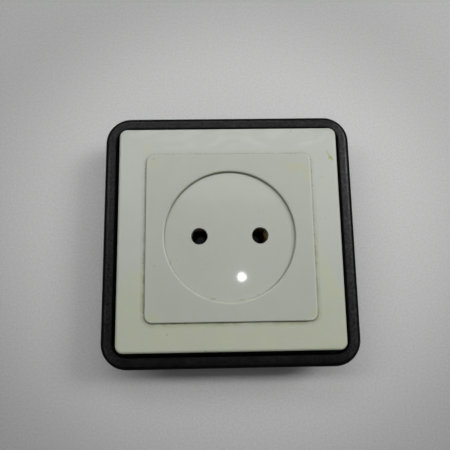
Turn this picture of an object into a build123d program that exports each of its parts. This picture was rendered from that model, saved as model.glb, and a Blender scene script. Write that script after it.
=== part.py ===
from build123d import *
import os

# Surface-mounted two-pin socket outlet without earth, in millimetres.
# Origin: centre of the flat back that meets the wall. +Z points out of the wall, +Y is up on the wall.

# Plug pins and the holes that take them
pin_pitch = 19.0
pin_length = 19.0
pin_hole_radius = 2.6
pin_tip_room = 0.2          # free depth below a fully pushed pin

# Back box
box_inset = 2.55            # from the side of the cover frame in to the side of the box
box_corner = 6.0
box_wall = 2.0
box_floor = 2.0
box_foot_round = 0.8
entry_width = 14.0          # cable window in the upper wall, and its closed twin in the lower wall
entry_height = 8.0
entry_sill = 1.0            # from the inside of the floor to the window
entry_corner = 2.0
knockout_web = 1.0          # wall left in the closed window
slot_pitch = 44.0           # wall-fixing slots
slot_width = 4.4
slot_length = 8.0
pillar_inset = 3.0          # from the inside of the wall to a pillar's axis
pillar_radius = 3.4
pillar_web = 2.4

# Surround ring
ring_groove = 1.9           # open gap between the cover frame and the bead
ring_corner = 8.4
ring_flange = 2.0           # plate that is clamped between the box and the cover frame
ring_crest_drop = 4.65      # from the top of the cover frame to the crest of the bead
ring_band = 4.05            # width of the bead
ring_outer_round = 2.0
ring_inner_round = 0.5
ring_foot_round = 0.5
ring_collar_depth = 2.0
ring_collar_wall = 1.5
ring_seat = 1.0             # overlap of the flange on the box rim
ring_spigot_height = 1.2

# Cover frame
frame_side = 70.1
frame_corner = 2.4
frame_depth = 7.0
frame_top_wall = 2.4
frame_skirt = 2.0
frame_edge_round = 0.9
frame_lip = 2.3             # width of the ledge that carries the centre plate
frame_rebate = 1.2          # depth of that ledge below the top
gusset_count = 3            # on each side of the frame
gusset_pitch = 16.0
gusset_wall = 1.2
gusset_reach = 3.0

# Centre plate
plate_side = 52.4
plate_corner = 2.4
plate_proud = 1.0           # above the cover frame
plate_edge_round = 0.5
plate_land = 5.75           # flat margin beside the recess
recess_depth = 1.1
recess_rim_round = 0.3
recess_draft = 0.2          # how much smaller the floor's radius is
dish_wall = 1.8
collar_radius = 4.0         # tubes round the pin holes
collar_reach = 1.9          # below the dish
leg_width = 5.0
leg_wall = 1.6
leg_inset = 0.9             # from the opening of the cover frame to the leg
leg_place = 16.0            # off the middle of the plate
barb_height = 2.1
barb_reach = 0.9

# Support strap
strap_sheet = 1.0
strap_margin = 1.4          # beyond the flange of the body
strap_lip_gap = 0.5         # beyond the barbs
strap_corner = 3.0
strap_ear_width = 12.0
strap_lip_height = 3.0
strap_drop = 1.0            # from the box rim to the top of its pillars

# Socket body
body_height = 30.0
body_corner = 3.0
body_gap = 0.3              # above the box floor
body_flange_gap = 2.0       # to the snap legs
body_flange_corner = 4.0
body_flange_sheet = 2.0
well_floor_wall = 1.2
well_step = 1.5             # height of the narrow foot of a pin well

# Contacts
jaw_radius = 2.0
jaw_sheet = 0.8
jaw_slit = 1.5
jaw_drop = 1.4              # below the top of the socket body
jaw_lead_in = 0.5           # flare inside the mouth of a jaw
stem_wall = 1.6
tab_height = 5.0
tab_length = 1.6
spring_wire = 0.5
spring_height = 2.0
spring_gap = 2.6
spring_place = 0.55         # share of the jaw's height

# Terminals
block_width = 9.6
block_depth = 7.0
block_height = 8.0
block_offset = 6.0          # from the pin's axis to the near face
wire_radius = 1.3
wire_rise = 2.5             # from the foot of the block to the wire holes
wire_pitch = 5.2

# Fasteners
terminal_screw_radius = 1.45
terminal_head_radius = 2.3
terminal_head_height = 1.6
terminal_screw_length = 6.0
terminal_head_lift = 0.5
strap_screw_radius = 1.4
strap_head_radius = 2.8
strap_head_height = 1.7
strap_screw_length = 9.0
strap_head_gap = 0.6        # to the flange of the body
cover_screw_radius = 1.25
cover_head_radius = 2.4
cover_screw_length = 8.0
cover_screw_place = -8.0
driver_slot_width = 0.6
driver_slot_share = 0.5     # of the head's height
head_bevel_share = 0.2      # bevel round the top of a head, of its height
rivet_radius = 1.25
rivet_bore = 0.8
rivet_head_radius = 2.2
rivet_head_height = 0.8
rivet_bevel_share = 0.4     # bevel round a rivet's head, of its height
rivet_gap = 0.1             # round a rivet's head on its ledge
rivet_y = 9.0

# Contact cover
contact_cover_sheet = 1.5
contact_cover_gap = 0.5     # below the dish of the centre plate

# Clearances
slip = 0.15                 # between mouldings that fit into each other
close = 0.05                # between metal parts and their seats
screw_room = 0.3            # round a screw in a clearance hole

# Levels above the wall, from the back outwards
body_low = box_floor + body_gap
well_floor = body_low + well_floor_wall
recess_floor = well_floor + pin_tip_room + pin_length
plate_top = recess_floor + recess_depth
frame_top = plate_top - plate_proud
plate_seat = frame_top - frame_rebate
frame_foot = frame_top - frame_depth
box_rim = frame_foot - ring_flange
ring_crest = frame_top - ring_crest_drop
pillar_top = box_rim - strap_drop
strap_top = pillar_top + strap_sheet
dish_under = recess_floor - dish_wall
contact_cover_top = dish_under - contact_cover_gap
body_top = contact_cover_top - contact_cover_sheet
jaw_foot = well_floor + well_step
jaw_top = body_top - jaw_drop
block_foot = jaw_top - block_height
wire_level = block_foot + wire_rise

# Sizes across, worked out from the fits
frame_half = frame_side / 2
ring_half = frame_half + ring_groove + ring_band
box_half = frame_half - box_inset
box_inner = box_half - box_wall
pillar_x = box_inner - pillar_inset
frame_skirt_inner = frame_half - frame_skirt
rebate_half = plate_side / 2 + slip
frame_opening_half = rebate_half - frame_lip
flange_inner = box_half - ring_seat
jaw_outer = jaw_radius + jaw_sheet
spring_inner = jaw_outer + close
spring_outer = spring_inner + spring_wire
well_radius = spring_outer + slip
well_foot_radius = (jaw_radius + jaw_outer) / 2
leg_outer = frame_opening_half - leg_inset
recess_radius = plate_side / 2 - plate_land
flange_half_width = pillar_x - strap_head_radius - strap_head_gap
flange_half_height = leg_outer - leg_wall - body_flange_gap
rivet_x = flange_half_width - rivet_head_radius - rivet_gap
body_width = 2 * (rivet_x - rivet_head_radius - rivet_gap)
strap_half_width = flange_half_width + strap_margin
strap_half_height = leg_outer + barb_reach + strap_lip_gap + strap_sheet
block_middle = block_offset + block_depth / 2
sides = (("left", -1), ("right", 1))


def slab(width, height, corner, low, high):
    """A plate with rounded upright corners, between two levels."""
    return extrude(Pos(0, 0, low) * RectangleRounded(width, height, corner), amount=high - low)


def rod(radius, x, y, low, high):
    """An upright cylinder between two levels."""
    return Pos(x, y, (low + high) / 2) * Cylinder(radius, high - low)


def block(x_range, y_range, z_range):
    """A plain box between three pairs of limits."""
    size = [high - low for low, high in (x_range, y_range, z_range)]
    middle = [(low + high) / 2 for low, high in (x_range, y_range, z_range)]
    return Pos(*middle) * Box(*size)


def edges_at(solid, level):
    """Edges that lie flat at one level."""
    return solid.edges().filter_by_position(Axis.Z, level - 0.01, level + 0.01)


def back_box():
    """Open black tray with fixing slots, two pillars for the strap and a cable window at the top."""
    tray = slab(2 * box_half, 2 * box_half, box_corner, 0, box_rim)
    tray = fillet(edges_at(tray, 0), box_foot_round)
    tray -= slab(2 * box_inner, 2 * box_inner, box_corner - box_wall, box_floor, box_rim)
    for name, side in sides:
        x = side * pillar_x
        tray += rod(pillar_radius, x, 0, box_floor, pillar_top)
        web = sorted((x, side * (box_inner + box_wall / 2)))
        tray += block(web, (-pillar_web / 2, pillar_web / 2), (box_floor, pillar_top))
    for name, side in sides:
        x = side * pillar_x
        tray -= rod(strap_screw_radius + close, x, 0, pillar_top - strap_screw_length, pillar_top)
    for y in (-slot_pitch / 2, slot_pitch / 2):
        tray -= extrude(Pos(0, y, 0) * SlotOverall(slot_length, slot_width, rotation=90), amount=box_floor)
    window = Plane.XZ * Pos(0, box_floor + entry_sill + entry_height / 2) * RectangleRounded(
        entry_width, entry_height, entry_corner)
    tray -= Pos(0, box_half, 0) * extrude(window, amount=box_wall)
    tray -= Pos(0, -box_inner, 0) * extrude(window, amount=box_wall - knockout_web)
    return tray


def surround_ring():
    """Black square ring: a rounded bead carried on a flange that seats on the box."""
    bead_middle = ring_half - ring_band / 2
    corner = ring_corner - ring_band / 2
    outer = ring_band / 2
    inner = -ring_band / 2
    with BuildSketch(Plane.XZ.offset(0)) as section:
        with BuildLine():
            foot = Polyline((inner, box_rim), (outer, box_rim), (outer, ring_crest - ring_outer_round))
            shoulder = RadiusArc(foot @ 1, (outer - ring_outer_round, ring_crest), -ring_outer_round)
            crown = Line(shoulder @ 1, (inner + ring_inner_round, ring_crest))
            fall = RadiusArc(crown @ 1, (inner, ring_crest - ring_inner_round), -ring_inner_round)
            Line(fall @ 1, foot @ 0)
        make_face()
    path = RectangleRounded(2 * bead_middle, 2 * bead_middle, corner).wire()
    bead = sweep(Pos(bead_middle, 0, 0) * section.sketch, path=path)
    bead = fillet(edges_at(bead, box_rim).filter_by(
        lambda edge: max(abs(edge.center().X), abs(edge.center().Y)) > bead_middle), ring_foot_round)
    flange = slab(2 * bead_middle, 2 * bead_middle, corner, box_rim, frame_foot)
    spigot = frame_skirt_inner - slip
    flange += slab(2 * spigot, 2 * spigot, frame_corner, frame_foot, frame_foot + ring_spigot_height)
    collar = box_half + slip
    collar_outer = collar + ring_collar_wall
    flange += slab(2 * collar_outer, 2 * collar_outer, box_corner + ring_collar_wall,
                   box_rim - ring_collar_depth, box_rim)
    flange -= slab(2 * collar, 2 * collar, box_corner + slip, box_rim - ring_collar_depth, box_rim)
    flange -= slab(2 * flange_inner, 2 * flange_inner, box_corner - ring_seat,
                   box_rim, frame_foot + ring_spigot_height)
    return bead + flange


def cover_frame():
    """Ivory cover: a shallow cap with a rebated square opening and gussets inside its skirt."""
    cap = slab(frame_side, frame_side, frame_corner, frame_foot, frame_top)
    cap = fillet(edges_at(cap, frame_top), frame_edge_round)
    hollow = frame_skirt_inner
    cap -= slab(2 * hollow, 2 * hollow, frame_corner / 2, frame_foot, frame_top - frame_top_wall)
    reach = hollow - gusset_reach
    places = [(index - (gusset_count - 1) / 2) * gusset_pitch for index in range(gusset_count)]
    under = frame_top - frame_top_wall
    foot = frame_foot + ring_spigot_height + slip
    gusset = Plane.XZ * Polygon((hollow, under), (hollow, foot), (reach, under), align=None)
    for turn in range(4):
        for place in places:
            rib = Pos(0, place + gusset_wall / 2, 0) * extrude(gusset, amount=gusset_wall)
            cap += Rot(0, 0, 90 * turn) * rib
    cap -= slab(2 * rebate_half, 2 * rebate_half, plate_corner + slip, plate_seat, frame_top)
    cap -= slab(2 * frame_opening_half, 2 * frame_opening_half, plate_corner, frame_foot, frame_top)
    return cap


def snap_leg():
    """One springy leg on the upper edge of the centre plate, with its barb under the strap."""
    inner = leg_outer - leg_wall
    hook = pillar_top - slip
    side = Plane.YZ * Polygon(
        (inner, plate_seat), (inner, hook - barb_height), (leg_outer, hook - barb_height),
        (leg_outer + barb_reach, hook - barb_reach), (leg_outer + barb_reach, hook), (leg_outer, hook),
        (leg_outer, plate_seat), align=None)
    return Pos(-leg_width / 2, 0, 0) * extrude(side, amount=leg_width)


def centre_plate():
    """Ivory centre plate with the round recess, two pin holes with collars, and four snap legs."""
    plate = slab(plate_side, plate_side, plate_corner, plate_seat, plate_top)
    plate = fillet(edges_at(plate, plate_top), plate_edge_round)
    floor_radius = recess_radius - recess_draft
    plate += rod(floor_radius + dish_wall, 0, 0, dish_under, plate_seat)
    recess = Pos(0, 0, recess_floor) * Cone(
        floor_radius, recess_radius, recess_depth, align=(Align.CENTER, Align.CENTER, Align.MIN))
    plate -= recess
    rim = edges_at(plate, plate_top).filter_by(GeomType.CIRCLE).sort_by(SortBy.RADIUS)[-1:]
    plate = fillet(rim, recess_rim_round)
    for name, side in sides:
        plate += rod(collar_radius, side * pin_pitch / 2, 0, dish_under - collar_reach, dish_under)
    for name, side in sides:
        plate -= rod(pin_hole_radius, side * pin_pitch / 2, 0, dish_under - collar_reach, recess_floor)
    for x in (-leg_place, leg_place):
        plate += Pos(x, 0, 0) * snap_leg()
        plate += Pos(x, 0, 0) * Rot(0, 0, 180) * snap_leg()
    return plate


def support_strap():
    """Pressed steel strap: a square sheet with two ears, a window for the body and turned-down lips."""
    sheet = slab(2 * strap_half_width, 2 * strap_half_height, strap_corner, pillar_top, strap_top)
    ear_reach = 2 * (box_inner - screw_room)
    sheet += slab(ear_reach, strap_ear_width, strap_corner, pillar_top, strap_top)
    reach = strap_half_width - strap_corner
    for turn in (0, 180):
        lip = block((-reach, reach), (strap_half_height - strap_sheet, strap_half_height),
                    (pillar_top - strap_lip_height, strap_top))
        bend = lip.edges().filter_by(Axis.X).sort_by(lambda e: e.center().Z + e.center().Y)[-1]
        sheet += Rot(0, 0, turn) * fillet(bend, strap_sheet * 0.9)
    sheet -= slab(body_width + 2 * slip, body_height + 2 * slip, body_corner + slip, pillar_top, strap_top)
    for x in (-leg_place, leg_place):
        for side in (-1, 1):
            y = sorted((side * (leg_outer - leg_wall - slip), side * (leg_outer + slip)))
            half = leg_width / 2 + slip
            sheet -= block((x - half, x + half), y, (pillar_top, strap_top))
    for name, side in sides:
        sheet -= rod(strap_screw_radius + screw_room, side * pillar_x, 0, pillar_top, strap_top)
        for y in (-rivet_y, rivet_y):
            sheet -= rod(rivet_radius + close, side * rivet_x, y, pillar_top, strap_top)
    return sheet


def socket_body():
    """Insulating block with two stepped pin wells, two terminal pockets and wire ways to the top."""
    body = slab(body_width, body_height, body_corner, body_low, body_top)
    body += slab(2 * flange_half_width, 2 * flange_half_height, body_flange_corner,
                 strap_top, strap_top + body_flange_sheet)
    for name, side in sides:
        x = side * pin_pitch / 2
        body -= rod(well_radius, x, 0, jaw_foot, body_top)
        body -= rod(well_foot_radius, x, 0, well_floor, jaw_foot)
        stem = stem_wall / 2 + slip
        body -= block((x - stem, x + stem), (0, block_offset), (jaw_foot, body_top))
        half = block_width / 2 + slip
        body -= block((x - half, x + half), (block_offset - slip, block_offset + block_depth + slip),
                      (block_foot, body_top))
        for wire in (-wire_pitch / 2, wire_pitch / 2):
            way = Plane.XZ * Pos(x + wire, wire_level) * Circle(wire_radius + screw_room)
            body -= Pos(0, body_height, 0) * extrude(way, amount=body_height - block_middle)
        for y in (-rivet_y, rivet_y):
            body -= rod(rivet_radius + close, side * rivet_x, y, strap_top, strap_top + body_flange_sheet)
    body -= rod(cover_screw_radius + close, 0, cover_screw_place, body_top - cover_screw_length, body_top)
    return body


def contact_cover():
    """Insulating plate over the pin wells, leaving the terminal screws open to the front."""
    low = -body_height / 2
    high = block_offset - slip
    cover = Pos(0, (low + high) / 2, 0) * slab(
        body_width, high - low, body_corner / 2, body_top, contact_cover_top)
    for name, side in sides:
        cover -= rod(collar_radius + slip, side * pin_pitch / 2, 0, body_top, contact_cover_top)
    cover -= rod(cover_screw_radius + close, 0, cover_screw_place, body_top, contact_cover_top)
    sink = cover_head_radius - cover_screw_radius
    cover -= Pos(0, cover_screw_place, contact_cover_top) * Cone(
        cover_screw_radius + close, cover_head_radius + close, sink, align=(Align.CENTER, Align.CENTER, Align.MAX))
    return cover


def driver_slot(radius, top, height):
    """The cut for a flat screwdriver across a screw head on the Z axis."""
    half = driver_slot_width / 2
    return block((-radius, radius), (-half, half), (top - height * driver_slot_share, top))


def cover_screw():
    """Countersunk screw that holds the contact cover to the body."""
    sink = cover_head_radius - cover_screw_radius
    screw = rod(cover_screw_radius, 0, 0, contact_cover_top - cover_screw_length, contact_cover_top)
    screw += Pos(0, 0, contact_cover_top) * Cone(
        cover_screw_radius, cover_head_radius, sink, align=(Align.CENTER, Align.CENTER, Align.MAX))
    screw -= driver_slot(cover_head_radius, contact_cover_top, sink)
    return Pos(0, cover_screw_place, 0) * screw


def contact(x):
    """Brass jaw: a slit tube round the pin with a flared mouth, and a doubled stem to its terminal."""
    jaw = rod(jaw_outer, 0, 0, jaw_foot, jaw_top) - rod(jaw_radius, 0, 0, jaw_foot, jaw_top)
    jaw -= Pos(0, 0, jaw_top) * Cone(
        jaw_radius, jaw_radius + jaw_lead_in, jaw_lead_in, align=(Align.CENTER, Align.CENTER, Align.MAX))
    jaw -= block((-jaw_slit / 2, jaw_slit / 2), (-jaw_outer, 0), (jaw_foot, jaw_top))
    half = stem_wall / 2
    root = (jaw_radius + jaw_outer) / 2
    jaw += block((-half, half), (root, block_offset), (block_foot, jaw_top))
    middle = (block_foot + jaw_top) / 2
    jaw += block((-half, half), (root, block_offset + tab_length),
                 (middle - tab_height / 2, middle + tab_height / 2))
    return Pos(x, 0, 0) * jaw


def contact_spring(x):
    """Open steel ring that squeezes the jaw."""
    middle = jaw_foot + (block_foot - jaw_foot) * spring_place
    low = middle - spring_height / 2
    high = middle + spring_height / 2
    ring = rod(spring_outer, 0, 0, low, high) - rod(spring_inner, 0, 0, low, high)
    ring -= block((-spring_gap / 2, spring_gap / 2), (0, spring_outer), (low, high))
    return Pos(x, 0, 0) * ring


def terminal_block(x):
    """Brass block with two wire holes, two screw holes and a slot for the contact's tab."""
    half = block_width / 2
    brass = block((-half, half), (block_offset, block_offset + block_depth), (block_foot, jaw_top))
    brass = chamfer(brass.edges().filter_by(Axis.Z), 0.4)
    for wire in (-wire_pitch / 2, wire_pitch / 2):
        bore = Plane.XZ * Pos(wire, wire_level) * Circle(wire_radius)
        brass -= Pos(0, block_offset + block_depth, 0) * extrude(bore, amount=block_depth)
        brass -= rod(terminal_screw_radius + close, wire, block_middle, wire_level, jaw_top)
    middle = (block_foot + jaw_top) / 2
    slot = stem_wall / 2 + close
    rise = tab_height / 2 + close
    brass -= block((-slot, slot), (block_offset, block_offset + tab_length + close),
                   (middle - rise, middle + rise))
    return Pos(x, 0, 0) * brass


def cheese_head_screw(radius, head_radius, head_height, length, head_foot):
    """A straight-sided slotted screw, with the underside of its head at one level."""
    screw = rod(radius, 0, 0, head_foot - length, head_foot)
    head = rod(head_radius, 0, 0, head_foot, head_foot + head_height)
    screw += chamfer(edges_at(head, head_foot + head_height), head_height * head_bevel_share)
    return screw - driver_slot(head_radius, head_foot + head_height, head_height)


def terminal_screw(x):
    """Screw that clamps one wire."""
    screw = cheese_head_screw(terminal_screw_radius, terminal_head_radius, terminal_head_height,
                              terminal_screw_length, jaw_top + terminal_head_lift)
    return Pos(x, block_middle, 0) * screw


def strap_screw(x):
    """Screw that holds the strap to a pillar of the box."""
    screw = cheese_head_screw(strap_screw_radius, strap_head_radius, strap_head_height,
                              strap_screw_length, strap_top)
    return Pos(x, 0, 0) * screw


def body_rivet(x, y):
    """Tubular rivet through the flange of the body and the strap."""
    low = pillar_top
    high = strap_top + body_flange_sheet
    rivet = rod(rivet_radius, 0, 0, low, high)
    for foot in (low - rivet_head_height, high):
        rivet += rod(rivet_head_radius, 0, 0, foot, foot + rivet_head_height)
    rivet = chamfer(edges_at(rivet, high + rivet_head_height), rivet_head_height * rivet_bevel_share)
    rivet -= rod(rivet_bore, 0, 0, low - rivet_head_height, high + rivet_head_height)
    return Pos(x, y, 0) * rivet


parts = {
    "back_box": back_box(),
    "surround_ring": surround_ring(),
    "cover_frame": cover_frame(),
    "centre_plate": centre_plate(),
    "support_strap": support_strap(),
    "socket_body": socket_body(),
    "contact_cover": contact_cover(),
    "contact_cover_screw": cover_screw(),
}
for name, side in sides:
    x = side * pin_pitch / 2
    parts["contact_" + name] = contact(x)
    parts["contact_spring_" + name] = contact_spring(x)
    parts["terminal_block_" + name] = terminal_block(x)
    parts["terminal_screw_" + name + "_outer"] = terminal_screw(x + side * wire_pitch / 2)
    parts["terminal_screw_" + name + "_inner"] = terminal_screw(x - side * wire_pitch / 2)
    parts["strap_screw_" + name] = strap_screw(side * pillar_x)
    for rank, rise in (("lower", -1), ("upper", 1)):
        parts["body_rivet_" + name + "_" + rank] = body_rivet(side * rivet_x, rise * rivet_y)

os.makedirs("parts", exist_ok=True)
for name, part in parts.items():
    export_step(part, os.path.join("parts", name + ".step"))
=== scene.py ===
import bpy
from mathutils import Matrix, Vector


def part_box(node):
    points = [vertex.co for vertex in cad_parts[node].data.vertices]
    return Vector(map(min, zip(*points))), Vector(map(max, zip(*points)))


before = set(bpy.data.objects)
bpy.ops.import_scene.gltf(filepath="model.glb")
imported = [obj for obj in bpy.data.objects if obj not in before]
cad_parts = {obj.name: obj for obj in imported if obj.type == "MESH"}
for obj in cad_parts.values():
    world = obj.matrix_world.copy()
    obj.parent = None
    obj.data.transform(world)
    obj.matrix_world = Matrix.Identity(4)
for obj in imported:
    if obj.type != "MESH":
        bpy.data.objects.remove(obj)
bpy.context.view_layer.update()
mm = 0.001
print("frame loaded")

# Levels and half widths, read from the frame
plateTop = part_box("centre_plate")[1][2]
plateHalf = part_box("centre_plate")[1][0]
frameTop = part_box("cover_frame")[1][2]
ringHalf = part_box("surround_ring")[1][0]
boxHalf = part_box("back_box")[1][0]
contactX = (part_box("contact_right")[0][0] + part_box("contact_right")[1][0]) / 2

# The finish follows these forms of the mouldings
moulding = {
    "recessDepth": 1.1 * mm,
    "recessRadius": 20.45 * mm,
    "plateCorner": 2.4 * mm,
    "bandWidth": 4.05 * mm,     # the ring's bead
    "bandCorner": 8.4 * mm,
}
recessFloor = plateTop - moulding["recessDepth"]


# A colour as a screen shows it, 0 to 255, as the light values that shaders use
def linear(red, green, blue):
    shares = [value / 255 for value in (red, green, blue)]
    light = [share / 12.92 if share < 0.04 else ((share + 0.055) / 1.055) ** 2.4 for share in shares]
    return (*light, 1.0)


# Adds a node, sets its properties, then fills or links its inputs
def place(tree, kind, inputs=None, **settings):
    node = tree.nodes.new(kind)
    for key, value in settings.items():
        setattr(node, key, value)
    for key, value in (inputs or {}).items():
        feed(tree, value, node.inputs[key])
    return node


# Links a socket, or sets a plain value
def feed(tree, value, socket):
    if isinstance(value, bpy.types.NodeSocket):
        tree.links.new(value, socket)
    else:
        socket.default_value = value


# One Math node, returned as its output
def maths(tree, operation, first, second=0.0, third=0.0):
    node = place(tree, "ShaderNodeMath", operation=operation)
    for index, value in enumerate((first, second, third)):
        feed(tree, value, node.inputs[index])
    return node.outputs[0]


def times(tree, *values):
    product = values[0]
    for value in values[1:]:
        product = maths(tree, "MULTIPLY", product, value)
    return product


# A smooth step from start to end while value goes from low to high
def fade(tree, value, low, high, start=0.0, end=1.0):
    node = place(tree, "ShaderNodeMapRange", interpolation_type="SMOOTHSTEP")
    labels = ("Value", "From Min", "From Max", "To Min", "To Max")
    for label, item in zip(labels, (value, low, high, start, end)):
        feed(tree, item, node.inputs[label])
    return node.outputs["Result"]


# One Vector Math node on two vectors, returned as its vector
def vectorMaths(tree, operation, first, second):
    return place(tree, "ShaderNodeVectorMath", {0: first, 1: second}, operation=operation).outputs[0]


def vectorLength(tree, vector):
    return place(tree, "ShaderNodeVectorMath", {0: vector}, operation="LENGTH").outputs["Value"]


# How far a point stands from an axis, seen from above
def planLength(tree, across, along):
    return vectorLength(tree, place(tree, "ShaderNodeCombineXYZ", {0: across, 1: along}).outputs[0])


# The x, y and z of a vector
def axes(tree, vector):
    return list(place(tree, "ShaderNodeSeparateXYZ", {0: vector}).outputs)


# Lays one colour over another
def blendColour(tree, factor, under, over):
    node = place(tree, "ShaderNodeMix", data_type="RGBA")
    feed(tree, factor, node.inputs[0])
    feed(tree, under, node.inputs[6])
    feed(tree, over, node.inputs[7])
    return node.outputs[2]


# Scales a colour by a value
def toned(tree, colour, value):
    return place(tree, "ShaderNodeVectorMath", {0: colour, "Scale": value}, operation="SCALE").outputs[0]


# Fractal noise, returned as its value. Its scale is about the number of ripples in a metre,
# and stretch multiplies that along each axis.
def noise(tree, position, scale, detail=2.0, roughness=0.5, distortion=0.0, stretch=None):
    if stretch:
        position = vectorMaths(tree, "MULTIPLY", position, stretch)
    node = place(tree, "ShaderNodeTexNoise", {"Vector": position, "Scale": scale, "Detail": detail,
                                              "Roughness": roughness, "Distortion": distortion})
    return node.outputs["Fac"]


# The same noise, about zero
def sway(tree, *recipe, **settings):
    return maths(tree, "SUBTRACT", noise(tree, *recipe, **settings), 0.5)


def bump(tree, height, distance):
    return place(tree, "ShaderNodeBump", {"Height": height, "Distance": distance}).outputs[0]


# Begins a shader node group; inputs are (name, type, default), outputs (name, type)
def startGroup(name, inputs, outputs):
    group = bpy.data.node_groups.new(name, "ShaderNodeTree")
    for label, kind, default in inputs:
        socket = group.interface.new_socket(label, in_out="INPUT", socket_type="NodeSocket" + kind)
        if default is not None:
            socket.default_value = default
    for label, kind in outputs:
        group.interface.new_socket(label, in_out="OUTPUT", socket_type="NodeSocket" + kind)
    return group, group.nodes.new("NodeGroupInput").outputs, group.nodes.new("NodeGroupOutput").inputs


def useGroup(tree, group, inputs):
    return place(tree, "ShaderNodeGroup", inputs, node_tree=group).outputs


# How far a point lies outside a rounded square, seen from above. With q the absolute x and y,
# each less the half width and plus the corner, it is the length of the positive parts of q,
# plus the larger of the two where both are negative, less the corner.
def buildSquareDistance():
    group, given, result = startGroup(
        "squareDistance",
        (("Position", "Vector", None), ("Half", "Float", 20 * mm), ("Corner", "Float", 2 * mm)),
        (("Distance", "Float"),))
    x, y = axes(group, given["Position"])[:2]
    straight = maths(group, "SUBTRACT", given["Half"], given["Corner"])
    across = maths(group, "SUBTRACT", maths(group, "ABSOLUTE", x), straight)
    along = maths(group, "SUBTRACT", maths(group, "ABSOLUTE", y), straight)
    outAcross = maths(group, "MAXIMUM", across, 0.0)
    outAlong = maths(group, "MAXIMUM", along, 0.0)
    squares = maths(group, "ADD", times(group, outAcross, outAcross), times(group, outAlong, outAlong))
    inner = maths(group, "MINIMUM", maths(group, "MAXIMUM", across, along), 0.0)
    total = maths(group, "ADD", maths(group, "SQRT", squares), inner)
    feed(group, maths(group, "SUBTRACT", total, given["Corner"]), result["Distance"])
    return group


# A soft ragged spot on the face: 1 in the middle of its ellipse, 0 past its edge
def buildSpot():
    group, given, result = startGroup(
        "softSpot",
        (("Position", "Vector", None), ("Middle", "Vector", None), ("Reach", "Vector", (mm, mm, 1.0)),
         ("Ragged", "Float", 0.9), ("Strength", "Float", 1.0)),
        (("Mask", "Float"),))
    position = given["Position"]
    offset = vectorMaths(group, "SUBTRACT", position, given["Middle"])
    distance = vectorLength(group, vectorMaths(group, "DIVIDE", offset, given["Reach"]))
    edge = maths(group, "MULTIPLY_ADD", sway(group, position, 700.0, 4.0), given["Ragged"], distance)
    feed(group, times(group, fade(group, edge, 0.2, 1.0, 1.0, 0.0), given["Strength"]), result["Mask"])
    return group


skinLook = {
    "tone": (0.07, 0.06, 0.08),             # shares of the broad, cloudy and fine noise in the tone
    "rough": (0.16, 0.14),                  # shares of the cloudy noise and the wipe marks in the roughness
    "height": (0.35, 1.2),                  # shares of the fine and the cloudy noise in the orange peel
    "wipeStretch": (900.0, 70.0, 300.0),    # wipe marks run up and down the face
    "speckCells": 330.0,                    # cells in a metre
    "speckChance": 0.88,                    # cells above this have a speck
    "speckSize": (0.05, 0.10),              # smallest, and what chance adds, in cells
}


# The skin of an old moulding: cloudy tone, faint orange peel, wipe marks and stuck specks
def buildMoulding(look):
    group, given, result = startGroup(
        "mouldedSkin",
        (("Position", "Vector", None), ("Cloud", "Float", 1.0), ("Grain", "Float", 1.0),
         ("Specks", "Float", 1.0)),
        (("Tone", "Float"), ("Rough", "Float"), ("Height", "Float"), ("Speck", "Float")))
    position = given["Position"]
    broad = sway(group, position, 42.0, 3.0, 0.5, 0.3)
    cloudy = sway(group, position, 190.0, 3.0, 0.55)
    fine = sway(group, position, 2400.0, 2.0, 0.6)
    wipe = sway(group, position, 1.0, 3.0, 0.6, 0.4, stretch=look["wipeStretch"])
    broadTone, cloudyTone, fineTone = look["tone"]
    tone = maths(group, "MULTIPLY_ADD", broad, broadTone, maths(group, "MULTIPLY", cloudy, cloudyTone))
    tone = maths(group, "MULTIPLY_ADD", fine, fineTone, tone)
    feed(group, maths(group, "MULTIPLY_ADD", tone, given["Cloud"], 1.0), result["Tone"])
    cloudyRough, wipeRough = look["rough"]
    rough = maths(group, "MULTIPLY_ADD", cloudy, cloudyRough, maths(group, "MULTIPLY", wipe, wipeRough))
    feed(group, rough, result["Rough"])
    fineHeight, cloudyHeight = look["height"]
    height = maths(group, "MULTIPLY_ADD", fine, fineHeight, maths(group, "MULTIPLY", cloudy, cloudyHeight))
    feed(group, times(group, height, given["Grain"]), result["Height"])
    cells = place(group, "ShaderNodeTexVoronoi",
                  {"Vector": position, "Scale": look["speckCells"], "Randomness": 1.0}).outputs
    chance = place(group, "ShaderNodeSeparateColor", {0: cells["Color"]}).outputs
    lucky = maths(group, "GREATER_THAN", chance[0], look["speckChance"])
    smallest, more = look["speckSize"]
    size = maths(group, "MULTIPLY_ADD", chance[1], more, smallest)
    dot = fade(group, maths(group, "DIVIDE", cells["Distance"], size), 0.5, 1.0, 1.0, 0.0)
    feed(group, times(group, dot, lucky, given["Specks"]), result["Speck"])
    return group


squareDistance = buildSquareDistance()
softSpot = buildSpot()
mouldedSkin = buildMoulding(skinLook)
print("node groups built")


# A material with its shader and Object coordinates
def startMaterial(name):
    material = bpy.data.materials.new(name)
    material.use_nodes = True
    tree = material.node_tree
    position = place(tree, "ShaderNodeTexCoord").outputs["Object"]
    return material, tree, tree.nodes["Principled BSDF"], position


def fromSquare(tree, position, half, corner):
    return useGroup(tree, squareDistance, {"Position": position, "Half": half, "Corner": corner})["Distance"]


# Lays spots of one colour over a colour, on every level. Each is its middle, x and y, its reach
# from there across and up, all in millimetres, and its strength.
def spots(tree, position, places, colour, under):
    for x, y, across, up, strength in places:
        spot = {"Position": position, "Middle": (x * mm, y * mm, frameTop),
                "Reach": (across * mm, up * mm, 1.0), "Strength": strength}
        under = blendColour(tree, useGroup(tree, softSpot, spot)["Mask"], under, colour)
    return under


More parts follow.
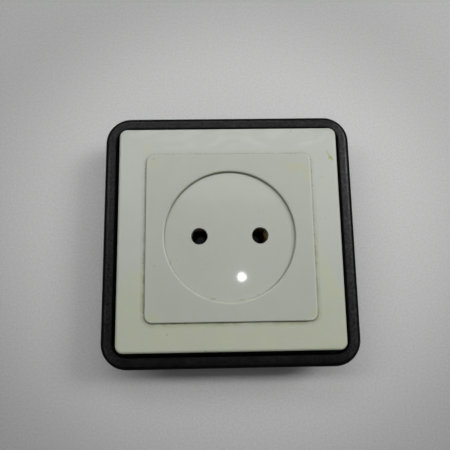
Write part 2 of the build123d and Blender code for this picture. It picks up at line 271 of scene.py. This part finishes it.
frameLook = {
    "fresh": linear(170, 173, 166),
    "yellowed": linear(171, 175, 155),
    # pale wipe marks, and painted glare, along the top
    "smearAndGlare": linear(186, 189, 184),
    "stain": linear(150, 152, 88),
    "haze": linear(172, 176, 148),
    # dirt, and painted shadow along the seam
    "seamDirtAndShade": linear(78, 76, 52),
    # painted shade beside the seam, tinted like dirt
    "seamRimDirtAndShade": linear(130, 134, 102),
    "speck": linear(112, 112, 98),
    "speckShare": 0.3,                          # how strongly the skin's own specks show
    "roughness": 0.36,
    "gloss": 0.3,                               # specular level
    "skinDepth": 0.012 * mm,
    # a place across the frame, the height of its yellowed foot there, and the fall towards the frame's edge
    "yellowLeft": (-27 * mm, -8.7 * mm, 1.1),
    "yellowRight": (28 * mm, -1.9 * mm, 2.9),
    "yellowTop": -1 * mm,                       # nothing has yellowed above this
    "yellowDrift": 14 * mm,                     # how far noise moves that height
    "yellowEdge": (-3 * mm, 4 * mm),            # its soft edge
    "smearAndGlareFrom": (27 * mm, 30 * mm),            # height at which the pale wipe marks and the painted glare begin
    "wipeStretch": (60.0, 120.0, 60.0),
    "smearAndGlareAdds": (0.4, 0.06),                       # what they add to the colour and to the roughness
    "seamWidth": (0.1 * mm, 0.7 * mm),          # distance from the plate over which the line of dirt and painted shadow fades
    "seamFoot": (-22 * mm, -27 * mm),           # the line is heaviest below this, as painted shadow under the plate
    "seamLine": 0.34,                           # its share above that
    "rimWidth": (0.2 * mm, 2.0 * mm),           # the same for the soft rim of the line
    "rimHeight": (24 * mm, -8 * mm),            # and the rim, painted shade with dirt, grows stronger down the frame
    "rimShare": (0.2, 0.6),
    "fleckWidth": (0.1 * mm, 1.3 * mm),
    "fleckShare": 0.5,
    "stains": ((31.9, 26.9, 0.28, 0.5, 0.8), (32.1, 26.3, 0.3, 0.5, 0.8), (32.4, 25.7, 0.45, 0.55, 0.9),
               (32.8, 25.0, 0.8, 0.7, 1.0), (33.3, 24.3, 0.45, 0.7, 0.9), (32.3, 24.5, 0.35, 0.5, 0.6)),
    "hazes": ((-26.0, 28.5, 2.0, 2.4, 0.6), (28.4, 24.5, 1.4, 2.4, 0.35), (30.6, 16.5, 1.8, 2.6, 0.3)),
    "specks": ((20.4, 33.9, 0.45, 0.3, 0.7), (-19.4, -29.6, 0.4, 0.5, 0.5), (-7.8, -34.6, 0.7, 0.3, 0.9),
               (29.9, 18.6, 0.35, 0.35, 0.35)),
    "cleaned": ((-31.0, -31.8, 2.4, 1.8, 0.5), (3.2, -28.3, 3.0, 1.0, 0.45), (22.0, -27.6, 2.4, 1.0, 0.4),
                (31.0, -27.0, 2.0, 2.6, 0.45)),
}


# Aged cover: yellowed at its foot, pale wipe marks and painted glare along its top, dirt and painted shade
# along the seam of the plate
def ivoryFrame(look):
    material, tree, shader, position = startMaterial("ivoryFrame")
    x, y = axes(tree, position)[:2]
    skin = useGroup(tree, mouldedSkin, {"Position": position, "Specks": 0.7})
    # height up to which each side has yellowed
    leftX, leftHeight, leftFall = look["yellowLeft"]
    rightX, rightHeight, rightFall = look["yellowRight"]
    left = maths(tree, "MULTIPLY_ADD", maths(tree, "SUBTRACT", x, leftX), leftFall, leftHeight)
    right = maths(tree, "MULTIPLY_ADD", maths(tree, "SUBTRACT", rightX, x), rightFall, rightHeight)
    lower = maths(tree, "MINIMUM", maths(tree, "MINIMUM", left, right), look["yellowTop"])
    drift = times(tree, sway(tree, position, 120.0, 4.0, 0.6), look["yellowDrift"])
    above = maths(tree, "SUBTRACT", maths(tree, "ADD", y, drift), lower)
    patchy = fade(tree, noise(tree, position, 210.0, 5.0, 0.62), 0.36, 0.62, 0.45, 1.0)
    yellow = times(tree, fade(tree, above, *look["yellowEdge"], 1.0, 0.0), patchy)
    colour = blendColour(tree, yellow, look["fresh"], look["yellowed"])
    # curved wipe marks near the top, paler than the cover: partly real smears, partly painted glare
    curl = noise(tree, position, 1.0, 3.0, 0.5, 1.6, stretch=look["wipeStretch"])
    smearAndGlareMask = times(tree, fade(tree, curl, 0.42, 0.7), fade(tree, y, *look["smearAndGlareFrom"]))
    smearAndGlareShare, rougher = look["smearAndGlareAdds"]
    colour = blendColour(tree, times(tree, smearAndGlareMask, smearAndGlareShare), colour, look["smearAndGlare"])
    colour = spots(tree, position, look["hazes"], look["haze"], colour)
    colour = spots(tree, position, look["cleaned"], look["fresh"], colour)
    # dirt where the plate stands in its seat, with painted shadow: a narrow line, heaviest along its foot,
    # where the plate's shadow falls
    seam = fromSquare(tree, position, plateHalf, moulding["plateCorner"])
    seamPatchiness = fade(tree, noise(tree, position, 320.0, 4.0, 0.6), 0.32, 0.66, 0.3, 1.0)
    foot = fade(tree, y, *look["seamFoot"], look["seamLine"], 1.0)
    seamDirtAndShadow = times(tree, fade(tree, seam, *look["seamWidth"], 1.0, 0.0), seamPatchiness, foot)
    colour = blendColour(tree, seamDirtAndShadow, colour, look["seamDirtAndShade"])
    # beside the line a soft grey-olive rim of painted shade with dirt, and flecks of the same dirt
    flankDirtAndShade = times(tree, fade(tree, seam, *look["rimWidth"], 1.0, 0.0),
                  fade(tree, y, *look["rimHeight"], *look["rimShare"]))
    colour = blendColour(tree, times(tree, flankDirtAndShade, seamPatchiness), colour, look["seamRimDirtAndShade"])
    flecks = fade(tree, noise(tree, position, 1500.0, 3.0, 0.7), 0.56, 0.66)
    flecks = times(tree, flecks, fade(tree, seam, *look["fleckWidth"], 1.0, 0.0), look["fleckShare"])
    colour = blendColour(tree, flecks, colour, look["seamDirtAndShade"])
    colour = spots(tree, position, look["stains"], look["stain"], colour)
    colour = spots(tree, position, look["specks"], look["speck"], colour)
    colour = blendColour(tree, times(tree, skin["Speck"], look["speckShare"]), colour, look["speck"])
    feed(tree, toned(tree, colour, skin["Tone"]), shader.inputs["Base Color"])
    rough = maths(tree, "ADD", skin["Rough"], look["roughness"])
    feed(tree, maths(tree, "MULTIPLY_ADD", smearAndGlareMask, rougher, rough), shader.inputs["Roughness"])
    shader.inputs["Specular IOR Level"].default_value = look["gloss"]
    feed(tree, bump(tree, skin["Height"], look["skinDepth"]), shader.inputs["Normal"])
    return material


plateLook = {
    "colour": linear(166, 169, 161),
    "warm": linear(168, 171, 146),
    # dirt, and painted shade, low on the plate's outer side
    "edgeDirtAndShade": linear(88, 90, 64),
    # dirt in the recess, and painted shade round its rim
    "wallDirtAndShade": linear(124, 128, 92),
    # painted highlight on the rim and on the plate's edge
    "wearAndSheen": linear(190, 193, 182),
    "speck": linear(120, 120, 112),
    "speckShare": 0.3,                      # how strongly the skin's own specks show
    "roughness": 0.34,
    "floorRoughness": 0.3,
    "roughShare": 0.6,                      # how much of the skin's unevenness it takes
    "coat": 0.12,                           # on the recess floor
    "coatRoughness": 0.05,
    "gloss": 0.2,                           # specular level
    "skinDepth": 0.008 * mm,
    "floorFade": (0.2 * mm, 0.3 * mm),      # the floor's finish ends from here above it to here below the top
    "wallFade": 0.3 * mm,                   # and over this distance beyond the wall
    "rimOut": 0.1 * mm,                     # the middle of the rim's round, beyond the wall
    "grimeWidth": (0.15 * mm, 0.7 * mm),    # distance from the recess wall over which its dirt fades
    "grime": 0.28,
    "shadeWidth": 0.75 * mm,                # of the shade on either side of the rim
    "shadeHeight": (-6 * mm, 14 * mm),      # over which it grows
    "shade": 0.34,
    "paleWidth": (0.1 * mm, 0.5 * mm),      # of the painted highlight on the rim
    "paleSide": (-0.6, -0.8),               # direction in which it lies
    "paleReach": 11 * mm,
    "pale": 0.6,
    "seatWidth": (-0.5 * mm, -0.05 * mm),   # distance from the outer side, negative on the plate
    "seatDepth": (1.0 * mm, 0.3 * mm),      # below the plate's top
    "seatDirtAndShade": 0.8,
    "shinyWidth": (-0.9 * mm, -0.4 * mm),   # the same for the painted highlight on the edge
    "shinyDepth": (0.3 * mm, 0.1 * mm),
    "shinySide": (20 * mm, 26 * mm),        # it is brightest on the right
    "shiny": (0.08, 0.4),
    "hazes": ((20.6, 21.6, 5.0, 2.3, 0.8), (24.6, 19.0, 2.0, 3.4, 0.8), (-23.6, 23.6, 3.4, 3.4, 0.5),
              (-23.5, -24.4, 3.4, 2.2, 0.7), (24.6, -24.2, 2.4, 2.4, 0.7)),
    "specks": ((-23.8, 24.7, 0.4, 0.4, 0.5), (-23.2, -9.0, 0.35, 0.4, 0.5), (-16.5, -7.5, 0.3, 0.3, 0.3),
               (15.4, -9.5, 0.3, 0.3, 0.3)),
    "floorSpots": ((-5.5, -19.3, 1.7, 0.4, 0.6), (3.4, -19.7, 1.4, 0.35, 0.5), (8.2, -18.1, 1.0, 0.5, 0.25),
                   (-18.4, -8.0, 0.5, 1.6, 0.3)),
}


# A smooth step in height, between two depths below the plate's top
def belowTop(tree, level, depths, start, end):
    deep, shallow = depths
    return fade(tree, level, plateTop - deep, plateTop - shallow, start, end)


# Greyer centre plate: glossier in the recess, with dirt in its corner and round the plate's own edge
def ivoryPlate(look):
    material, tree, shader, position = startMaterial("ivoryPlate")
    x, y, level = axes(tree, position)
    radius = planLength(tree, x, y)
    skin = useGroup(tree, mouldedSkin, {"Position": position, "Specks": 0.5})
    colour = spots(tree, position, look["hazes"], look["warm"], look["colour"])
    wall = moulding["recessRadius"]
    overFloor, underTop = look["floorFade"]
    inside = times(tree, fade(tree, level, recessFloor + overFloor, plateTop - underTop, 1.0, 0.0),
                   fade(tree, radius, wall, wall + look["wallFade"], 1.0, 0.0))
    patchy = noise(tree, position, 210.0, 4.0, 0.62)
    nearWall = fade(tree, maths(tree, "SUBTRACT", wall, radius), *look["grimeWidth"], 1.0, 0.0)
    grime = times(tree, nearWall, inside, fade(tree, patchy, 0.25, 0.7, 0.0, look["grime"]))
    colour = blendColour(tree, grime, colour, look["wallDirtAndShade"])
    # a soft shade on the land round the rim, strongest at the top
    rim = maths(tree, "ABSOLUTE", maths(tree, "SUBTRACT", radius, wall + look["rimOut"]))
    shade = times(tree, fade(tree, rim, 0.0, look["shadeWidth"], 1.0, 0.0),
                  fade(tree, y, *look["shadeHeight"], 0.0, look["shade"]))
    colour = blendColour(tree, shade, colour, look["wallDirtAndShade"])
    # and a painted highlight on the rim on the other side, at its lower left, where its round faces the light
    across, up = look["paleSide"]
    side = maths(tree, "MULTIPLY_ADD", x, across, maths(tree, "MULTIPLY", y, up))
    pale = times(tree, fade(tree, rim, *look["paleWidth"], 1.0, 0.0),
                 fade(tree, side, 0.0, look["paleReach"], 0.0, look["pale"]))
    colour = blendColour(tree, pale, colour, look["wearAndSheen"])
    colour = spots(tree, position, look["floorSpots"], look["wallDirtAndShade"], colour)
    # the low part of the outer side, where it goes into its seat: dirt and painted shade
    edge = fromSquare(tree, position, plateHalf, moulding["plateCorner"])
    seatDirtAndShadeMask = times(tree, fade(tree, edge, *look["seatWidth"]),
                   belowTop(tree, level, look["seatDepth"], 1.0, 0.0), look["seatDirtAndShade"])
    colour = blendColour(tree, seatDirtAndShadeMask, colour, look["edgeDirtAndShade"])
    # and a painted highlight on the edge above it
    shiny = times(tree, fade(tree, edge, *look["shinyWidth"]),
                  fade(tree, x, *look["shinySide"], *look["shiny"]),
                  belowTop(tree, level, look["shinyDepth"], 0.0, 1.0))
    colour = blendColour(tree, shiny, colour, look["wearAndSheen"])
    colour = spots(tree, position, look["specks"], look["speck"], colour)
    colour = blendColour(tree, times(tree, skin["Speck"], look["speckShare"]), colour, look["speck"])
    feed(tree, toned(tree, colour, skin["Tone"]), shader.inputs["Base Color"])
    rough = fade(tree, inside, 0.4, 0.9, look["roughness"], look["floorRoughness"])
    rough = maths(tree, "MULTIPLY_ADD", skin["Rough"], look["roughShare"], rough)
    feed(tree, rough, shader.inputs["Roughness"])
    shader.inputs["Specular IOR Level"].default_value = look["gloss"]
    feed(tree, times(tree, inside, look["coat"]), shader.inputs["Coat Weight"])
    shader.inputs["Coat Roughness"].default_value = look["coatRoughness"]
    feed(tree, bump(tree, skin["Height"], look["skinDepth"]), shader.inputs["Normal"])
    return material


blackLook = {
    "colour": linear(6, 6, 7),
    # the paler crest: wear and painted sheen
    "crestWearAndSheen": linear(32, 32, 33),
    "dust": linear(64, 64, 61),
    "dustShare": 0.25,
    "roughness": 0.38,
    "cloudRough": 0.12,                         # what cloudy patches add to it
    "gloss": (0.02, 0.24),                      # specular level of the dull skin and of the paler crest
    "grain": 1.2,
    "skinDepth": 0.02 * mm,
    "crest": 1.55 * mm,                         # from the outer side in to the paler ridge of the bead
    "ridge": (0.5 * mm, 0.6),                   # half width of the ridge, and the share of the paler band beside it
    "outer": 0.7 * mm,                          # the paler band ends this far outside the ridge
    "inner": (-2.7 * mm, -1.5 * mm, 0.1),       # inside the ridge it fades between these, to this share
    "brighterRight": (34 * mm, 38 * mm, 1.35),     # painted light: brightest on the right
    "dimmerFoot": (-40 * mm, -36 * mm, 0.3),     # and painted shade: dimmest at the bottom
    "patchiness": 0.3,                          # share of the paler band that follows the cloudy patches
}
boxLook = dict(blackLook, colour=linear(14, 14, 14), gloss=(0.35, 0.35), grain=2.4)


# Black satin moulding: a paler band on its crest, partly wear and partly painted sheen, faint dust and fine
# grain
def blackMoulding(name, look, crestHalf):
    material, tree, shader, position = startMaterial(name)
    x, y = axes(tree, position)[:2]
    skin = useGroup(tree, mouldedSkin, {"Position": position, "Cloud": 1.5, "Grain": look["grain"]})
    cloud = fade(tree, noise(tree, position, 240.0, 4.0, 0.6), 0.4, 0.75)
    crest = fromSquare(tree, position, crestHalf, moulding["bandCorner"] - look["crest"])
    # paler from the ridge inwards, brightest on the ridge itself: wear and painted sheen
    ridgeWidth, besideRidge = look["ridge"]
    ridge = fade(tree, maths(tree, "ABSOLUTE", crest), 0.0, ridgeWidth, 1.0, besideRidge)
    innerEnd, innerStart, innerShare = look["inner"]
    inward = times(tree, fade(tree, crest, 0.0, look["outer"], 1.0, 0.0),
                   fade(tree, crest, innerEnd, innerStart, innerShare, 1.0))
    grit = fade(tree, noise(tree, position, 1100.0, 3.0, 0.7), 0.35, 0.68, 0.45, 1.35)
    rightStart, rightEnd, rightShare = look["brighterRight"]
    footStart, footEnd, footShare = look["dimmerFoot"]
    paintedSideLight = times(tree, fade(tree, x, rightStart, rightEnd, 1.0, rightShare),
                  fade(tree, y, footStart, footEnd, footShare, 1.0))
    patchy = maths(tree, "MULTIPLY_ADD", cloud, look["patchiness"], 1 - look["patchiness"])
    wearAndSheen = times(tree, ridge, inward, grit, paintedSideLight, patchy)
    colour = blendColour(tree, wearAndSheen, look["colour"], look["crestWearAndSheen"])
    colour = blendColour(tree, times(tree, skin["Speck"], look["dustShare"]), colour, look["dust"])
    feed(tree, toned(tree, colour, skin["Tone"]), shader.inputs["Base Color"])
    rough = maths(tree, "MULTIPLY_ADD", cloud, look["cloudRough"], look["roughness"])
    feed(tree, maths(tree, "ADD", rough, skin["Rough"]), shader.inputs["Roughness"])
    dull, bright = look["gloss"]
    feed(tree, maths(tree, "MULTIPLY_ADD", wearAndSheen, bright - dull, dull), shader.inputs["Specular IOR Level"])
    feed(tree, bump(tree, skin["Height"], look["skinDepth"]), shader.inputs["Normal"])
    return material


zincLook = {
    "colour": linear(190, 190, 188),
    "tarnish": linear(128, 126, 120),
    "cover": 0.1,                           # how much tarnish lies over the whole
    "cloudTarnish": 0.4,                    # and how much more in cloudy patches
    "roughness": 0.34,
    "grainRough": 0.12,                     # what the grain and the patches add to it
    "cloudRough": 0.2,
    "grainDepth": 0.01 * mm,
    "grain": (60.0, 2400.0, 60.0),          # drawn along x
    "wearAndSheen": (),                           # spots as for the frame, where the metal is left bright as a painted glint
}
screwLook = dict(zincLook, colour=linear(184, 184, 182), tarnish=linear(118, 115, 108),
                 roughness=0.28, grain=(900.0, 900.0, 60.0))
# A painted glint: one side of the right contact is left bright
brassLook = dict(zincLook, colour=linear(206, 172, 112), tarnish=linear(44, 34, 24), cover=0.85,
                 roughness=0.5, wearAndSheen=((contactX / mm + 2.3, 0.9, 1.0, 2.0, 1.0),))


# Sheet or turned metal: drawn grain, cloudy tarnish and a soft gloss
def rolledMetal(name, look):
    material, tree, shader, position = startMaterial(name)
    grain = noise(tree, position, 1.0, 3.0, 0.6, stretch=look["grain"])
    cloud = fade(tree, noise(tree, position, 420.0, 5.0, 0.65), 0.35, 0.75)
    tarnished = maths(tree, "MULTIPLY_ADD", cloud, look["cloudTarnish"], look["cover"])
    colour = blendColour(tree, tarnished, look["colour"], look["tarnish"])
    colour = spots(tree, position, look["wearAndSheen"], look["colour"], colour)
    feed(tree, colour, shader.inputs["Base Color"])
    shader.inputs["Metallic"].default_value = 1.0
    rough = maths(tree, "MULTIPLY_ADD", grain, look["grainRough"], look["roughness"])
    rough = maths(tree, "MULTIPLY_ADD", cloud, look["cloudRough"], rough)
    feed(tree, rough, shader.inputs["Roughness"])
    feed(tree, bump(tree, grain, look["grainDepth"]), shader.inputs["Normal"])
    return material


bodyLook = {
    "colour": linear(214, 208, 192),
    "fleck": linear(190, 182, 164),
    "fleckShare": 0.5,
    "fleckStretch": (700.0, 2000.0, 1200.0),
    "soot": linear(30, 28, 26),
    "sootReach": (3.7 * mm, 5.2 * mm),      # from the axis of a pin
    "roughness": 0.5,
    "grain": 1.5,
    "skinDepth": 0.03 * mm,
}
coverLook = dict(bodyLook, colour=linear(66, 42, 28), fleck=linear(98, 70, 48), roughness=0.55)


# Fired or pressed insulating stock with a faint fleck, blackened round the pins
def insulator(name, look):
    material, tree, shader, position = startMaterial(name)
    x, y = axes(tree, position)[:2]
    skin = useGroup(tree, mouldedSkin, {"Position": position, "Grain": look["grain"], "Specks": 0.6})
    fleck = fade(tree, noise(tree, position, 1.0, 4.0, 0.7, stretch=look["fleckStretch"]), 0.45, 0.8)
    colour = blendColour(tree, times(tree, fleck, look["fleckShare"]), look["colour"], look["fleck"])
    fromPin = planLength(tree, maths(tree, "SUBTRACT", maths(tree, "ABSOLUTE", x), contactX), y)
    colour = blendColour(tree, fade(tree, fromPin, *look["sootReach"], 1.0, 0.0), colour, look["soot"])
    feed(tree, toned(tree, colour, skin["Tone"]), shader.inputs["Base Color"])
    feed(tree, maths(tree, "ADD", skin["Rough"], look["roughness"]), shader.inputs["Roughness"])
    feed(tree, bump(tree, skin["Height"], look["skinDepth"]), shader.inputs["Normal"])
    return material


zincSteel = rolledMetal("zincSteel", zincLook)
screwSteel = rolledMetal("screwSteel", screwLook)
tarnishedBrass = rolledMetal("tarnishedBrass", brassLook)
finishes = {
    "cover_frame": ivoryFrame(frameLook),
    "centre_plate": ivoryPlate(plateLook),
    "surround_ring": blackMoulding("blackRing", blackLook, ringHalf - blackLook["crest"]),
    # the box's crest is set so far out that its sides take only the last share of the paler band
    "back_box": blackMoulding("blackBox", boxLook, boxHalf + 4 * moulding["bandWidth"]),
    "socket_body": insulator("firedBody", bodyLook),
    "contact_cover": insulator("pressedCover", coverLook),
    "support_strap": zincSteel,
}
for name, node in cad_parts.items():
    if name in finishes:
        finish = finishes[name]
    elif "screw" in name:
        finish = screwSteel
    elif "spring" in name:
        finish = zincSteel
    else:
        finish = tarnishedBrass
    node.data.materials.clear()
    node.data.materials.append(finish)
print("finishes given to", len(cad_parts), "nodes")


table = {
    "reach": 0.9,
    "colour": linear(182, 183, 183),
    "roughness": 0.6,
    "speckle": 0.42,                    # how strongly it shows
    "cloud": 0.05,
    "falloff": (60 * mm, 110 * mm),     # from the socket's middle
    "corners": 0.72,                    # tone beyond that
}


# Pale laminate with a fine speckle, one square sheet at the level of the back
def buildTable(look):
    material, tree, shader, position = startMaterial("paleTable")
    broad = maths(tree, "MULTIPLY_ADD", sway(tree, position, 9.0, 2.0), look["cloud"], 1.0)
    tone = maths(tree, "MULTIPLY_ADD", sway(tree, position, 1300.0, 2.0, 0.7), look["speckle"], broad)
    # darker away from the socket, as in the corners of the photograph
    # painted shade: the tone is lowered away from the socket, in place of light falling off
    away = vectorLength(tree, position)
    tone = times(tree, tone, fade(tree, away, *look["falloff"], 1.0, look["corners"]))
    feed(tree, toned(tree, look["colour"][:3], tone), shader.inputs["Base Color"])
    shader.inputs["Roughness"].default_value = look["roughness"]
    reach = look["reach"]
    mesh = bpy.data.meshes.new("tableFloor")
    corners = [(-reach, -reach, 0), (reach, -reach, 0), (reach, reach, 0), (-reach, reach, 0)]
    mesh.from_pydata(corners, [], [(0, 1, 2, 3)])
    mesh.materials.append(material)
    floor = bpy.data.objects.new("tableFloor", mesh)
    bpy.context.scene.collection.objects.link(floor)


buildTable(table)

# The camera of the photograph, fitted to its edges with the pins 19 mm apart
lens = {
    "place": (-3.397, -13.988, 119.8),      # mm, from the middle between the pin holes on the recess floor
    "turn": (-0.1444, -0.0150, -0.0149),    # axis times angle, from looking straight down
    "focalPixels": 386.95,
    "framePixels": 450,
    "sensor": 36.0,                         # mm
}


def buildCamera(wanted):
    data = bpy.data.cameras.new("photoCamera")
    camera = bpy.data.objects.new("photoCamera", data)
    bpy.context.scene.collection.objects.link(camera)
    turn = Vector(wanted["turn"])
    turned = Matrix.Rotation(turn.length, 3, turn.normalized()) @ Matrix.Diagonal((1, -1, -1))
    # the rows of turned are the picture's right, down and forward, and a camera wants right, up and back
    gaze = Matrix((turned[0], -turned[1], -turned[2])).transposed().to_4x4()
    spot = Vector(wanted["place"]) * mm + Vector((0, 0, recessFloor))
    camera.matrix_world = Matrix.Translation(spot) @ gaze
    data.sensor_width = wanted["sensor"]
    data.lens = wanted["focalPixels"] * wanted["sensor"] / wanted["framePixels"]
    data.clip_start = 5 * mm
    bpy.context.scene.camera = camera


buildCamera(lens)

# Each panel lies flat above the socket. Its four sides, left, right, low and high, are slopes:
# metres sideways or up the picture for a metre of height. Its watts come last. The small bulb
# mirrors itself in the floor of the recess, where the photograph has its highlight.
lamps = {
    "height": 0.4,
    "colour": (1.0, 0.995, 0.985),
    "panels": {
        "windowLeft": (-1.3, -0.6, 0.26, 0.46, 0.7),
        "windowMiddle": (-0.6, 0.7, 0.24, 0.44, 0.72),
        "windowRight": (0.7, 1.4, 0.26, 0.46, 1.35),
        "door": (0.7, 1.4, 0.5, 0.75, 1.05),
        "upper": (-0.6, 0.25, 0.7, 1.1, 0.65),
        "low": (0.1, 0.9, 0.1, 0.24, 0.08),
        "behind": (-0.6, 0.7, -1.0, -0.2, 0.04),
    },
    "highlight": (3.45 * mm, -12.76 * mm),
    "bulb": (1.2, 0.024, 0.7),      # height, width and watts
}
roomLight = {
    "colour": (0.96, 0.98, 1.0, 1.0),
    "strength": 0.02,
    "backdrop": 0.24,       # what the eye and reflections see of the room
}


# One flat lamp that shines straight down
def hangLamp(name, middle, width, depth, watts, colour, shape="RECTANGLE"):
    data = bpy.data.lights.new(name, "AREA")
    data.shape = shape
    data.size = width
    if shape == "RECTANGLE":
        data.size_y = depth
    data.energy = watts
    data.color = colour
    lamp = bpy.data.objects.new(name, data)
    bpy.context.scene.collection.objects.link(lamp)
    lamp.location = middle


def buildLamps(wanted, eye):
    height = wanted["height"]
    for name, (left, right, low, high, watts) in wanted["panels"].items():
        middle = (height * (left + right) / 2, height * (low + high) / 2, height + recessFloor)
        hangLamp(name, middle, height * (right - left), height * (high - low), watts, wanted["colour"])
    # a floor mirrors the eye's slope: the bulb stands as far beyond the highlight as the eye stands before it
    rise, width, watts = wanted["bulb"]
    spot = Vector((*wanted["highlight"], 0))
    beyond = (spot - Vector((eye.x, eye.y, 0))) * rise / eye.z
    middle = spot + beyond + Vector((0, 0, recessFloor + rise))
    hangLamp("bulb", middle, width, width, watts, wanted["colour"], "DISK")


# A dim room, with a pale backdrop for what is seen of it directly, mirrored or through something clear
def buildRoom(wanted):
    world = bpy.data.worlds.new("room")
    bpy.context.scene.world = world
    world.use_nodes = True
    tree = world.node_tree
    background = tree.nodes["Background"].inputs
    background["Color"].default_value = wanted["colour"]
    ray = place(tree, "ShaderNodeLightPath").outputs
    seen = maths(tree, "MAXIMUM", ray["Is Camera Ray"], ray["Is Glossy Ray"])
    seen = maths(tree, "MAXIMUM", seen, ray["Is Transmission Ray"])
    more = wanted["backdrop"] - wanted["strength"]
    feed(tree, maths(tree, "MULTIPLY_ADD", seen, more, wanted["strength"]), background["Strength"])


buildLamps(lamps, Vector(lens["place"]) * mm)
buildRoom(roomLight)
bpy.context.scene.view_settings.view_transform = "Standard"
print("camera, lamps and table ready")
